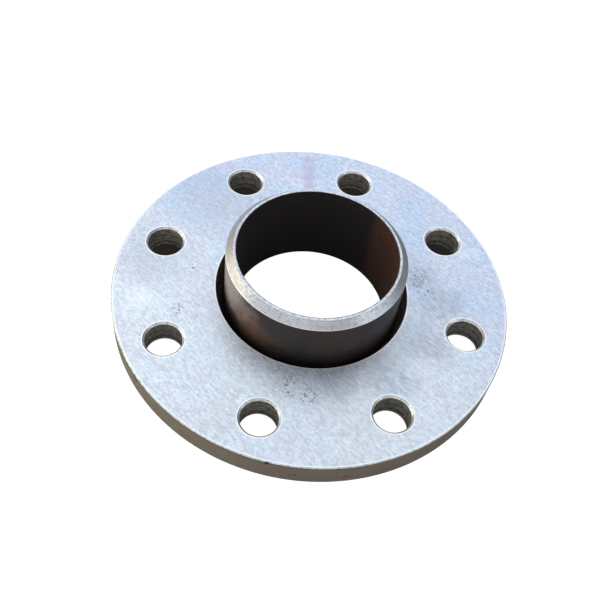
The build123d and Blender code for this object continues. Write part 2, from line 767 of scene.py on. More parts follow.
@dataclass(frozen=True)
class ZincPlate(Finish):
    """Satin zinc plating, bluish white and clouded, on the flange's flat faces."""

    bolts: BoltPattern
    hole_edge_radius: float
    outer_edge_radius: float
    bore_edge_radius: float
    title = "zinc_plate"
    gloss = Gloss(0.40, 0.56, relief=0.3, depth=0.05 * MM, metallic=0.75)
    blue: Colour = (0.465, 0.555, 0.71)
    pale: Colour = (0.61, 0.67, 0.72)
    rosy: Colour = (0.57, 0.55, 0.64)
    # Laid over the smudges, and as painted shade over the shaded areas.
    smudge_and_shade: Colour = (0.26, 0.30, 0.37)
    mauve: Colour = (0.40, 0.38, 0.48)
    speck: Colour = (0.13, 0.14, 0.16)
    bright: Colour = (0.86, 0.87, 0.88)
    smudges: tuple[Area, ...] = (
        (56, 6, 15),
        (64, -12, 20),
        (52, -34, 20),
        (32, -54, 20),
        (6, -58, 15),
    )
    mauve_streak: tuple[Area, ...] = ((5, 72, 5), (5, 78, 6), (6, 85, 6), (6, 92, 5))
    paled: tuple[Area, ...] = ((83, 21, 5), (90, 23, 5), (-86, -6, 12))
    # Painted shade: areas of the upper face laid darker, at its back left and its left.
    painted_shade_areas: tuple[Area, ...] = ((-48, 64, 44), (-80, 22, 30))
    speckled: tuple[Area, ...] = (
        (-16, -59, 10),
        (-8, -63, 8),
        (56, 4, 9),
        (58, -4, 8),
        (-68, -13, 6),
        (-60, 12, 5),
    )
    # Painted light: the slant and the span of the pale colour laid over the front left of the face.
    painted_light_slant: float = 0.6
    painted_light_span: tuple[float, float] = (-40 * MM, 50 * MM)
    cloud_share: float = 0.25
    rosy_share: float = 0.45
    smudge_share: float = 0.75
    brushing_turn: float = 0.9
    brushing_stretch: tuple[float, float, float] = (0.35, 1.0, 1.0)
    scratch_turns: tuple[float, float] = (0.6, 2.1)
    scratch_scales: tuple[float, float] = (900.0, 700.0)
    scratch_share: float = 0.3
    scratch_depth: float = 0.8
    edge_width: float = 0.9 * MM
    edge_share: float = 0.7

    def clouded(self, shader: ShaderTree, position: Any) -> Any:
        """Return the plating's broad colours, with the pale one laid on its front left as painted
        light.

        Args:
            shader: The material's tree.
            position: The object's own coordinates.

        Returns:
            The colour's socket.
        """
        clouds = shader.mask(Clouds(), position, Scale=24.0, Softness=0.17)
        rosy = shader.mask(Clouds(), position, Scale=47.0, Softness=0.12)
        x, y = shader.add("ShaderNodeSeparateXYZ", {0: position}).outputs[:2]
        # Painted light: the pale colour is laid over the front left, where the key light falls.
        across = shader.math("MULTIPLY_ADD", x, self.painted_light_slant, y)
        side = shader.span(across, *self.painted_light_span, 1.0, 0.0)
        side = shader.product(side, 1.0 - self.cloud_share)
        pale = shader.math("MULTIPLY_ADD", clouds, self.cloud_share, side)
        colour = shader.mix(pale, self.blue, self.pale)
        return shader.mix(shader.product(rosy, self.rosy_share), colour, self.rosy)

    def brushed(self, shader: ShaderTree, position: Any) -> Any:
        """Return the position drawn out along the plating's brush marks."""
        turned = shader.turned(position, self.brushing_turn)
        return shader.stretched(turned, self.brushing_stretch)

    def areas(self, shader: ShaderTree, position: Any, places: tuple[Area, ...]) -> Any:
        """Return one mask for some round areas.

        Args:
            shader: The material's tree.
            position: The object's own coordinates.
            places: Each area's x, y and reach, in millimetres.

        Returns:
            The mask's socket.
        """
        flat = shader.stretched(position, (1, 1, 0))
        result = 0.0
        for x, y, reach in places:
            mark = Mark(x * MM, y * MM, 0.0, reach * MM)
            result = shader.math("MAXIMUM", result, mark.mask(shader, flat))
        return result

    def stains_and_shade(self) -> tuple[ColourOverlay, ...]:
        """Return the even stains and the painted shade, the lowest first.

        Returns:
            The streak at the back, the paled areas and the painted shade at the back left and the
            left.
        """
        return (
            ColourOverlay(self.mauve, 0.75, self.mauve_streak),
            ColourOverlay(self.bright, 0.25, self.paled),
            # Painted shade: the smudge colour laid over the back left and the left of the upper
            # face.
            ColourOverlay(self.smudge_and_shade, 0.3, self.painted_shade_areas),
        )

    def marked(self, shader: ShaderTree, position: Any, drawn: Any, colour: Any) -> Any:
        """Return the colour with brushed smudges, even stains, painted shade and dark specks laid
        over it.

        Args:
            shader: The material's tree.
            position: The object's own coordinates.
            drawn: The position drawn out along the brush marks.
            colour: The plating's colour.

        Returns:
            The colour's socket, with the stains and the painted shade.
        """
        strokes = shader.span(shader.noise(drawn, 480.0, 4.0, 0.7), 0.36, 0.66, 0.25, 1.0)
        smudges = self.areas(shader, position, self.smudges)
        smudged = shader.product(smudges, strokes, self.smudge_share)
        colour = shader.mix(smudged, colour, self.smudge_and_shade)
        for stain in self.stains_and_shade():
            covered = self.areas(shader, position, stain.areas)
            colour = shader.mix(shader.product(covered, stain.strength), colour, stain.colour)
        fine = shader.mask(Specks(), position, Scale=900.0, Size=0.9)
        stray = shader.mask(Specks(), position, Scale=260.0, Size=0.24)
        speckled = shader.product(self.areas(shader, position, self.speckled), fine, 0.8)
        dark = shader.math("MAXIMUM", speckled, shader.product(stray, 0.4))
        return shader.mix(dark, colour, self.speck)

    def scratches(self, shader: ShaderTree, position: Any) -> Any:
        """Return the mask of two sets of scratches that cross each other.

        Args:
            shader: The material's tree.
            position: The object's own coordinates.

        Returns:
            The mask's socket.
        """
        first, second = (
            shader.mask(Scratches(), position, Scale=scale, Turn=turn, Width=0.012)
            for scale, turn in zip(self.scratch_scales, self.scratch_turns)
        )
        return shader.math("MAXIMUM", first, second)

    def hole_distance(self, shader: ShaderTree, place: Any) -> bpy.types.NodeSocket:
        """Return the distance from the nearest bolt hole's edge.

        Args:
            shader: The material's tree.
            place: The radius, angle and height about the pipe axis.

        Returns:
            The distance's socket, below zero inside a hole.
        """
        from_zero = shader.math("ADD", place["Angle"], FULL_TURN)
        turned = shader.math("MODULO", from_zero, self.bolts.pitch)
        off = shader.math("SUBTRACT", turned, self.bolts.pitch / 2)
        across = shader.product(place["Radius"], shader.math("SINE", off))
        along = shader.product(place["Radius"], shader.math("COSINE", off))
        along = shader.math("SUBTRACT", along, self.bolts.circle_radius)
        squares = shader.math("MULTIPLY_ADD", across, across, shader.product(along, along))
        return shader.math("SUBTRACT", shader.math("SQRT", squares), self.hole_edge_radius)

    def edges(self, shader: ShaderTree, position: Any) -> Any:
        """Return the mask of the bright wear beside the holes, the rim and the bore.

        Args:
            shader: The material's tree.
            position: The object's own coordinates.

        Returns:
            The mask's socket.
        """
        place = shader.place(PolarPlace(), position)
        distances = (
            self.hole_distance(shader, place),
            shader.math("SUBTRACT", self.outer_edge_radius, place["Radius"]),
            shader.math("SUBTRACT", place["Radius"], self.bore_edge_radius),
        )
        result = 0.0
        for distance in distances:
            wear = shader.mask(EdgeWearAndShade(), position, Distance=distance, Width=self.edge_width)
            result = shader.math("MAXIMUM", result, wear)
        return result

    def dress(self, shader: ShaderTree, position: Any, surface: Any) -> None:
        """Lay clouds, fine mottling, brush marks, stains, painted light and shade, scratches and
        bright edges.

        Args:
            shader: The material's tree.
            position: The object's own coordinates.
            surface: The surface shader node.
        """
        drawn = self.brushed(shader, position)
        mottle = shader.noise(position, 620.0, 4.0, 0.7)
        grain = shader.noise(position, 1900.0, 2.0, 0.6)
        streaks = shader.noise(drawn, 800.0, 3.0, 0.65)
        shade = shader.product(
            shader.vary(mottle, 0.80, 1.14),
            shader.span(grain, 0.25, 0.75, 0.86, 1.12),
            shader.vary(streaks, 0.84, 1.12),
        )
        colour = shader.shade(self.clouded(shader, position), shade)
        colour = self.marked(shader, position, drawn, colour)
        scratches = self.scratches(shader, position)
        colour = shader.mix(shader.product(scratches, self.scratch_share), colour, self.bright)
        lightened = shader.product(self.edges(shader, position), self.edge_share)
        colour = shader.mix(lightened, colour, self.bright)
        height = shader.math("MULTIPLY_ADD", grain, 0.4, mottle)
        height = shader.math("MULTIPLY_ADD", scratches, -self.scratch_depth, height)
        self.polish(shader, surface, colour, mottle, height)


@dataclass(frozen=True)
class TurnedRim(Finish):
    """Khaki-grey turned steel under thin plating, on the flange's outer wall."""

    face_height: float
    nick: Mark
    title = "turned_rim"
    gloss = Gloss(0.42, 0.62, relief=0.3, depth=0.05 * MM, metallic=0.5)
    grey: Colour = (0.255, 0.223, 0.170)
    khaki: Colour = (0.440, 0.375, 0.245)
    ruddy: Colour = (0.355, 0.245, 0.195)
    stain: Colour = (0.030, 0.024, 0.020)
    # Painted light: the span across which the khaki is laid over the wall's left.
    lit_khaki_span: tuple[float, float] = (-90 * MM, 10 * MM)
    cloud_share: float = 0.25
    ruddy_share: float = 0.45
    # The painted shadow line under the upper edge: its width, and how dark it makes the wall.
    shadow_line_width: float = 2.0 * MM
    shadow_line_shade: float = 0.55
    blot_share: float = 0.5

    def dress(self, shader: ShaderTree, position: Any, surface: Any) -> None:
        """Lay tool lines, khaki and ruddy areas, painted light, a painted shadow line and a dark
        nick.

        Args:
            shader: The material's tree.
            position: The object's own coordinates.
            surface: The surface shader node.
        """
        place = shader.place(PolarPlace(), position)
        x = shader.add("ShaderNodeSeparateXYZ", {0: position}).outputs[0]
        # Painted light: the lighter khaki is laid over the left of the wall, where the key light
        # falls.
        side = shader.span(x, *self.lit_khaki_span, 1.0 - self.cloud_share, 0.0)
        clouds = shader.mask(Clouds(), position, Scale=34.0, Softness=0.15)
        tone = shader.math("MULTIPLY_ADD", clouds, self.cloud_share, side)
        warm = shader.mask(Clouds(), position, Scale=110.0, Softness=0.08)
        colour = shader.mix(tone, self.grey, self.khaki)
        colour = shader.mix(shader.product(warm, self.ruddy_share), colour, self.ruddy)

        lines = shader.mask(ToolLines(), position, Along=place["Height"], Scale=1500.0)
        grain = shader.noise(position, 900.0, 3.0, 0.65)
        # Painted shadow: a darker band just under the upper edge, where the chamfer shades the wall.
        depth = shader.math("SUBTRACT", self.face_height, place["Height"])
        painted_shadow_line = shader.mask(EdgeWearAndShade(), position, Distance=depth, Width=self.shadow_line_width)
        shade = shader.product(
            shader.span(lines, 0.0, 1.0, 0.90, 1.08),
            shader.vary(grain, 0.85, 1.12),
            shader.span(painted_shadow_line, 0.0, 1.0, 1.0, self.shadow_line_shade),
        )
        colour = shader.shade(colour, shade)

        blots = shader.mask(Specks(), position, Scale=140.0, Size=0.45)
        nicked = shader.span(self.nick.mask(shader, position), 0.1, 0.8)
        marked = shader.math("MAXIMUM", shader.product(blots, self.blot_share), nicked)
        colour = shader.mix(marked, colour, self.stain)
        self.polish(shader, surface, colour, grain, shader.math("ADD", lines, grain))


@dataclass(frozen=True)
class DrilledWall(Finish):
    """Dark drilled steel with the drill's rings, inside the bolt holes and the flange's bore."""

    title = "drilled_wall"
    gloss = Gloss(0.38, 0.6, relief=0.5, depth=0.08 * MM, metallic=0.6)
    dark: Colour = (0.085, 0.078, 0.068)
    light: Colour = (0.700, 0.650, 0.570)

    def dress(self, shader: ShaderTree, position: Any, surface: Any) -> None:
        """Lay uneven rings that follow the height.

        Args:
            shader: The material's tree.
            position: The object's own coordinates.
            surface: The surface shader node.
        """
        height = shader.place(PolarPlace(), position)["Height"]
        rings = shader.mask(ToolLines(), position, Along=height, Scale=620.0)
        grain = shader.noise(position, 500.0, 4.0, 0.7)
        colour = shader.mix(rings, self.dark, self.light)
        colour = shader.shade(colour, shader.vary(grain, 0.5, 1.3))
        self.polish(shader, surface, colour, grain, shader.math("ADD", rings, grain))


@dataclass(frozen=True)
class CutEdge(Finish):
    """Bright machined steel on the flange's chamfers."""

    title = "cut_edge"
    gloss = Gloss(0.3, 0.5, relief=0.25, depth=0.05 * MM, metallic=0.85)
    bright: Colour = (0.80, 0.79, 0.75)
    dull: Colour = (0.50, 0.50, 0.49)

    def dress(self, shader: ShaderTree, position: Any, surface: Any) -> None:
        """Lay fine mottling over bright metal.

        Args:
            shader: The material's tree.
            position: The object's own coordinates.
            surface: The surface shader node.
        """
        grain = shader.noise(position, 700.0, 3.0, 0.7)
        colour = shader.mix(shader.span(grain, *DULL_GRAIN), self.bright, self.dull)
        self.polish(shader, surface, colour, grain, grain)


@dataclass(frozen=True)
class MillScale(Finish):
    """Brown-black mill scale on the collar's outside."""

    gap_height: float
    bevel_height: float
    title = "mill_scale"
    gloss = Gloss(0.42, 0.60, relief=0.35, depth=0.08 * MM, specular=0.32)
    black: Colour = (0.024, 0.021, 0.021)
    brown: Colour = (0.145, 0.072, 0.037)
    # The colour of the painted reflection on the neck's left.
    lightened: Colour = (0.480, 0.380, 0.300)
    cloud_share: float = 0.2
    rust_share: float = 0.7
    reflection_share: float = 0.85
    # How dark the neck gets towards the flange: partly painted shade, partly darker scale.
    low_shade: float = 0.6

    def dress(self, shader: ShaderTree, position: Any, surface: Any) -> None:
        """Lay a brown area and a painted reflection over black, darker towards the flange.

        Args:
            shader: The material's tree.
            position: The object's own coordinates.
            surface: The surface shader node.
        """
        clouds = shader.mask(Clouds(), position, Scale=38.0, Softness=0.12)
        colour = shader.mix(shader.product(clouds, self.cloud_share), self.black, self.brown)
        rust = Mark(-34 * MM, -28 * MM, self.gap_height + 9 * MM, 16 * MM)
        rusty = shader.product(rust.mask(shader, position), self.rust_share)
        colour = shader.mix(rusty, colour, self.brown)
        # Painted reflection: a lighter, warmer patch on the neck's left, where it faces the bright
        # surroundings.
        reflection_spot = Mark(-43 * MM, -13 * MM, self.bevel_height - 4 * MM, 24 * MM)
        reflected = shader.product(reflection_spot.mask(shader, position), self.reflection_share)
        colour = shader.mix(reflected, colour, self.lightened)

        # Darker towards the flange: partly painted shade of the gap between neck and flange, partly
        # darker scale.
        height = shader.place(PolarPlace(), position)["Height"]
        low = shader.span(height, self.gap_height - 3 * MM, self.gap_height + 12 * MM)
        grain = shader.noise(position, 520.0, 4.0, 0.7)
        shade = shader.product(
            shader.vary(grain, 0.7, 1.3), shader.span(low, 0.0, 1.0, self.low_shade, 1.0)
        )
        self.polish(shader, surface, shader.shade(colour, shade), grain, grain)


@dataclass(frozen=True)
class WeldPrep(Finish):
    """Freshly turned steel on the weld bevel and the gasket face."""

    neck_radius: float
    bevel_height: float
    title = "weld_prep"
    gloss = Gloss(0.28, 0.46, relief=0.3, depth=0.04 * MM, metallic=0.92)
    silver: Colour = (0.64, 0.67, 0.72)
    straw: Colour = (0.54, 0.50, 0.43)
    dull: Colour = (0.28, 0.28, 0.28)
    bright: Colour = (0.88, 0.88, 0.86)
    cloud_share: float = 0.5
    side_reach: float = 42 * MM
    # How strongly the painted shade darkens the bevel's right side.
    painted_shade_share: float = 0.9
    dull_mark_share: float = 0.6
    rubbed_width: float = 0.5 * MM
    rubbed_share: float = 0.6

    def dress(self, shader: ShaderTree, position: Any, surface: Any) -> None:
        """Lay turning lines, a straw side, painted shade on the right side and a bright lower edge.

        Args:
            shader: The material's tree.
            position: The object's own coordinates.
            surface: The surface shader node.
        """
        clouds = shader.mask(Clouds(), position, Scale=40.0, Softness=0.1)
        straw_side = Mark(-42 * MM, -6 * MM, self.bevel_height, self.side_reach)
        warm = straw_side.mask(shader, position)
        warm = shader.math("MAXIMUM", warm, shader.product(clouds, self.cloud_share))
        colour = shader.mix(warm, self.silver, self.straw)

        grain = shader.noise(position, 640.0, 4.0, 0.75)
        # Painted shade: the dull colour laid over the bevel's right side, where it reflects the dim
        # side of the room.
        painted_shade_side = Mark(43 * MM, 14 * MM, self.bevel_height, self.side_reach)
        painted_shade = shader.product(painted_shade_side.mask(shader, position), self.painted_shade_share)
        marks = shader.product(shader.span(grain, 0.48, 0.68), self.dull_mark_share)
        colour = shader.mix(shader.math("MAXIMUM", marks, painted_shade), colour, self.dull)

        radius = shader.place(PolarPlace(), position)["Radius"]
        lines = shader.mask(ToolLines(), position, Along=radius, Scale=3200.0)
        colour = shader.shade(colour, shader.span(lines, 0.0, 1.0, 0.9, 1.08))
        off_edge = shader.math("SUBTRACT", self.neck_radius, radius)
        rubbed = shader.mask(EdgeWearAndShade(), position, Distance=off_edge, Width=self.rubbed_width)
        colour = shader.mix(shader.product(rubbed, self.rubbed_share), colour, self.bright)
        self.polish(shader, surface, colour, grain, shader.math("ADD", lines, grain))


@dataclass(frozen=True)
class RootLand(Finish):
    """Bluish turned steel on the root face, dark along its inner edge."""

    bore_radius: float
    title = "root_land"
    gloss = Gloss(0.34, 0.50, relief=0.25, depth=0.05 * MM, metallic=0.85)
    steel: Colour = (0.50, 0.53, 0.58)
    dull: Colour = (0.36, 0.37, 0.39)
    dark: Colour = (0.060, 0.055, 0.055)
    dark_width: float = 0.6 * MM

    def dress(self, shader: ShaderTree, position: Any, surface: Any) -> None:
        """Lay a light mottling, and a dark line beside the bore.

        Args:
            shader: The material's tree.
            position: The object's own coordinates.
            surface: The surface shader node.
        """
        grain = shader.noise(position, 700.0, 3.0, 0.7)
        colour = shader.mix(shader.span(grain, *DULL_GRAIN), self.steel, self.dull)
        radius = shader.place(PolarPlace(), position)["Radius"]
        off_edge = shader.math("SUBTRACT", radius, self.bore_radius)
        inner = shader.mask(EdgeWearAndShade(), position, Distance=off_edge, Width=self.dark_width)
        colour = shader.mix(inner, colour, self.dark)
        self.polish(shader, surface, colour, grain, grain)


@dataclass(frozen=True)
class PipeInside(Finish):
    """Near-black scale inside the collar, with one brown side, lighter there as painted light."""

    title = "pipe_inside"
    gloss = Gloss(0.5, 0.7, relief=0.3, depth=0.08 * MM, specular=0.18)
    black: Colour = (0.024, 0.019, 0.020)
    brown: Colour = (0.066, 0.034, 0.020)
    ruddy: Colour = (0.074, 0.032, 0.022)
    # Where the brown side lies; it is partly brown scale and partly painted light.
    brown_middle: float = math.radians(-3)
    brown_half_width: float = math.radians(38)
    brown_fade: float = math.radians(9)
    brown_wander: float = 0.12

    def dress(self, shader: ShaderTree, position: Any, surface: Any) -> None:
        """Lay a brown side, partly painted light, with a soft edge over near-black scale.

        Args:
            shader: The material's tree.
            position: The object's own coordinates.
            surface: The surface shader node.
        """
        angle = shader.place(PolarPlace(), position)["Angle"]
        wander = shader.noise(position, 60.0, 3.0)
        # The brown side: brown scale, painted lighter as painted light on the side that faces the
        # key light.
        off = shader.math("ABSOLUTE", shader.math("SUBTRACT", angle, self.brown_middle))
        off = shader.math("MULTIPLY_ADD", wander, self.brown_wander, off)
        low, high = self.brown_half_width, self.brown_half_width + self.brown_fade
        side = shader.span(off, low, high, 1.0, 0.0)
        colour = shader.mix(shader.span(wander, 0.4, 0.6), self.brown, self.ruddy)
        colour = shader.mix(side, self.black, colour)
        grain = shader.noise(position, 420.0, 4.0, 0.7)
        colour = shader.shade(colour, shader.vary(grain, 0.8, 1.2))
        self.polish(shader, surface, colour, grain, grain)


# ---- the loose flange ------------------------------------------------------------------


class FlangeZone(IntEnum):
    """The flange's areas of one finish each, numbered as its material slots."""

    FACE = 0
    RIM = 1
    DRILLED = 2
    EDGE = 3


@dataclass
class LooseFlange:
    """The zinc-plated bolted plate that turns on the collar."""

    node: bpy.types.Object
    bolts: BoltPattern
    body: str = "flange"
    slot: str = "zinc_plated_steel"
    hole_chamfer: float = 1.0 * MM
    sector_columns: int = 48
    sector_rows: int = 26
    first_row_radius: float = 52 * MM
    opening_half_depth: float = 13 * MM
    opening_half_width: float = 12 * MM
    drill_rings: int = 13
    drill_ring_depth: float = 0.14 * MM
    drill_ring_bias: float = 0.7
    drill_ring_change: float = 1.7 * MM
    wall_rows: int = 12
    bore_rows: int = 4
    wall_swelling: float = 9 * MM
    wall_unevenness: float = 0.05 * MM
    nick: Mark = Mark(-28.5 * MM, -95.8 * MM, 17.0 * MM, 1.9 * MM)
    nick_depth: float = 0.6 * MM
    nick_cuts: int = 3
    nick_margin: float = 3.0

    def __post_init__(self) -> None:
        """Read the plate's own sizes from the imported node."""
        cad = CadRings(self.node)
        self.top = cad.top()
        self.bottom = cad.bottom()
        self.outer_radius = cad.outer_radius()
        self.bore_radius = cad.bore_radius()
        self.face_radius = max(cad.radii(self.top, self.top))
        self.bore_edges = {z: min(cad.radii(z, z)) for z in (self.top, self.bottom)}
        turn = Matrix.Rotation(self.bolts.pitch / 2, 3, "Z")
        self.hole_centre = turn @ Vector((self.bolts.circle_radius, 0, 0))

    def in_opening(self, point: Vector) -> bool:
        """Return whether a point of the first sector lies in the bolt hole's block.

        Args:
            point: The point.

        Returns:
            True inside the block of faces that the hole takes the place of.
        """
        depth = abs(point.xy.length - self.bolts.circle_radius)
        angle = math.atan2(point.y, point.x) - self.bolts.pitch / 2
        width = abs(angle) * self.bolts.circle_radius
        return depth < self.opening_half_depth and width < self.opening_half_width

    def about_hole(self, vert: bmesh.types.BMVert) -> float:
        """Return a vertex's angle about the first bolt hole."""
        spoke = vert.co - self.hole_centre
        return math.atan2(spoke.y, spoke.x)

    def hole_rings(self) -> list[tuple[float, float, FlangeZone]]:
        """Work out the rings of a bolt hole's wall, from the upper face to the lower.

        The wall keeps the hole's size on its lands, with the drill's rings cut between them.

        Returns:
            Each ring's radius, height and zone.
        """
        wide = self.bolts.hole_radius + self.hole_chamfer
        high, low = self.top - self.hole_chamfer, self.bottom + self.hole_chamfer
        rings = [(wide, self.top, FlangeZone.FACE)]
        for index, height in enumerate(steps_between(high, low, 2 * self.drill_rings)):
            swing = noise.noise(UP * (height / self.drill_ring_change))
            share = max(swing + self.drill_ring_bias, 0.0)
            depth = self.drill_ring_depth * share if index % 2 else 0.0
            zone = FlangeZone.DRILLED if index else FlangeZone.EDGE
            rings.append((self.bolts.hole_radius + depth, height, zone))
        rings.append((wide, self.bottom, FlangeZone.EDGE))
        return rings

    def bolt_hole(self, mesh: SpunMesh) -> None:
        """Open both faces of the first sector and join them by a drilled wall.

        Args:
            mesh: The mesh, which holds the first sector alone.
        """
        bm = mesh.bm
        middle = (self.top + self.bottom) / 2
        block = [f for f in bm.faces if self.in_opening(f.calc_center_median())]
        inside = set(block)
        outline = [e for e in bm.edges if sum(f in inside for f in e.link_faces) == 1]
        bmesh.ops.delete(bm, geom=block, context="FACES")
        edges = [e for e in outline if e.verts[0].co.z > middle]
        lower = {v for e in outline for v in e.verts if v.co.z < middle}
        ends = [vert.co.copy() for vert in sorted(lower, key=self.about_hole)]
        for radius, height, zone in self.hole_rings():
            edges, verts = self.extrude_ring(bm, edges, zone)
            for vert in verts:
                turn = Matrix.Rotation(self.about_hole(vert), 3, "Z")
                spoke = turn @ Vector((radius, 0, 0))
                vert.co = (self.hole_centre + spoke).xy.to_3d() + UP * height
        edges, verts = self.extrude_ring(bm, edges, FlangeZone.FACE)
        for vert, end in zip(sorted(verts, key=self.about_hole), ends):
            vert.co = end

    def extrude_ring(
        self, bm: bmesh.types.BMesh, edges: list[bmesh.types.BMEdge], zone: FlangeZone
    ) -> tuple[list[bmesh.types.BMEdge], list[bmesh.types.BMVert]]:
        """Extrude a ring of edges.

        Args:
            bm: The mesh.
            edges: The ring.
            zone: The new faces' zone.

        Returns:
            The new ring's edges and vertices, still lying on the old ones.
        """
        made = bmesh.ops.extrude_edge_only(bm, edges=edges)["geom"]
        verts = [item for item in made if isinstance(item, bmesh.types.BMVert)]
        for face in (item for item in made if isinstance(item, bmesh.types.BMFace)):
            face.material_index = zone
        fresh = set(verts)
        rings = (item for item in made if isinstance(item, bmesh.types.BMEdge))
        return [e for e in rings if fresh.issuperset(e.verts)], verts

    def sector(self, mesh: SpunMesh) -> None:
        """Make one bolt's share of the plate: both faces, and the hole between them.

        Args:
            mesh: The mesh to add to.
        """
        radii = steps_between(self.first_row_radius, self.face_radius, self.sector_rows)
        for height in (self.top, self.bottom):
            profile = [(radius, height) for radius in radii]
            mesh.spin(profile, FlangeZone.FACE, self.sector_columns, self.bolts.pitch)
        self.bolt_hole(mesh)

    def round_walls(self, mesh: SpunMesh) -> None:
        """Spin the outer wall and the bore, with their chamfers.

        Args:
            mesh: The mesh to add to.
        """
        steps = self.sector_columns * self.bolts.count
        chamfer = self.outer_radius - self.face_radius
        heights = steps_between(self.top - chamfer, self.bottom + chamfer, self.wall_rows)
        wall = [(self.outer_radius, height) for height in heights]
        mesh.spin([(self.face_radius, self.top), wall[0]], FlangeZone.EDGE, steps)
        mesh.spin(wall, FlangeZone.RIM, steps)
        mesh.spin([wall[-1], (self.face_radius, self.bottom)], FlangeZone.RIM, steps)
        for height, edge in self.bore_edges.items():
            border = [(edge, height), (self.first_row_radius, height)]
            mesh.spin(border, FlangeZone.FACE, steps)
        high_edge, low_edge = self.bore_edges[self.top], self.bore_edges[self.bottom]
        high = self.top - (high_edge - self.bore_radius)
        low = self.bottom + (low_edge - self.bore_radius)
        heights = steps_between(high, low, self.bore_rows)
        bore = [(self.bore_radius, height) for height in heights]
        mesh.spin([(high_edge, self.top), bore[0]], FlangeZone.EDGE, steps)
        mesh.spin(bore, FlangeZone.DRILLED, steps)
        mesh.spin([bore[-1], (low_edge, self.bottom)], FlangeZone.EDGE, steps)

    def weather(self, mesh: SpunMesh) -> None:
        """Make the outer wall slightly uneven and press a nick into its upper edge.

        Args:
            mesh: The whole flange's mesh.
        """
        middle = self.nick.point()
        reach = self.nick_margin * self.nick.reach
        near = [e for e in mesh.bm.edges if (e.verts[0].co - middle).length < reach]
        bmesh.ops.subdivide_edges(mesh.bm, edges=near, cuts=self.nick_cuts, use_grid_fill=True)
        for vert in mesh.bm.verts:
            radius = vert.co.xy.length
            share = (vert.co - middle).length / self.nick.reach
            inward = self.nick_depth * max(0.0, 1 - share * share)
            if radius > self.face_radius + SAME_PLACE:
                inward += abs(unevenness(vert.co, self.wall_swelling, self.wall_unevenness))
            vert.co.xy *= (radius - inward) / radius

    def build(self) -> bpy.types.Object:
        """Build the flange.

        Returns:
            The flange's object.
        """
        mesh = SpunMesh()
        self.sector(mesh)
        bmesh.ops.spin(
            mesh.bm,
            geom=mesh.bm.verts[:] + mesh.bm.edges[:] + mesh.bm.faces[:],
            cent=CENTRE,
            axis=UP,
            dvec=CENTRE,
            angle=self.bolts.pitch * (self.bolts.count - 1),
            steps=self.bolts.count - 1,
            use_duplicate=True,
        )
        self.round_walls(mesh)
        bmesh.ops.remove_doubles(mesh.bm, verts=mesh.bm.verts[:], dist=SAME_PLACE)
        self.weather(mesh)
        hole_edge = self.bolts.hole_radius + self.hole_chamfer
        face = ZincPlate(self.bolts, hole_edge, self.face_radius, self.bore_edges[self.top])
        rim = TurnedRim(self.top, self.nick)
        made = mesh.make_object("plated_flange", [face, rim, DrilledWall(), CutEdge()])
        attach(made, self.body)
        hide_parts(self.node.name)
        return made


# ---- the weld-neck collar --------------------------------------------------------------


class CollarZone(IntEnum):
    """The collar's areas of one finish each, numbered as its material slots."""

    SCALE = 0
    TURNED = 1
    INSIDE = 2
    LAND = 3


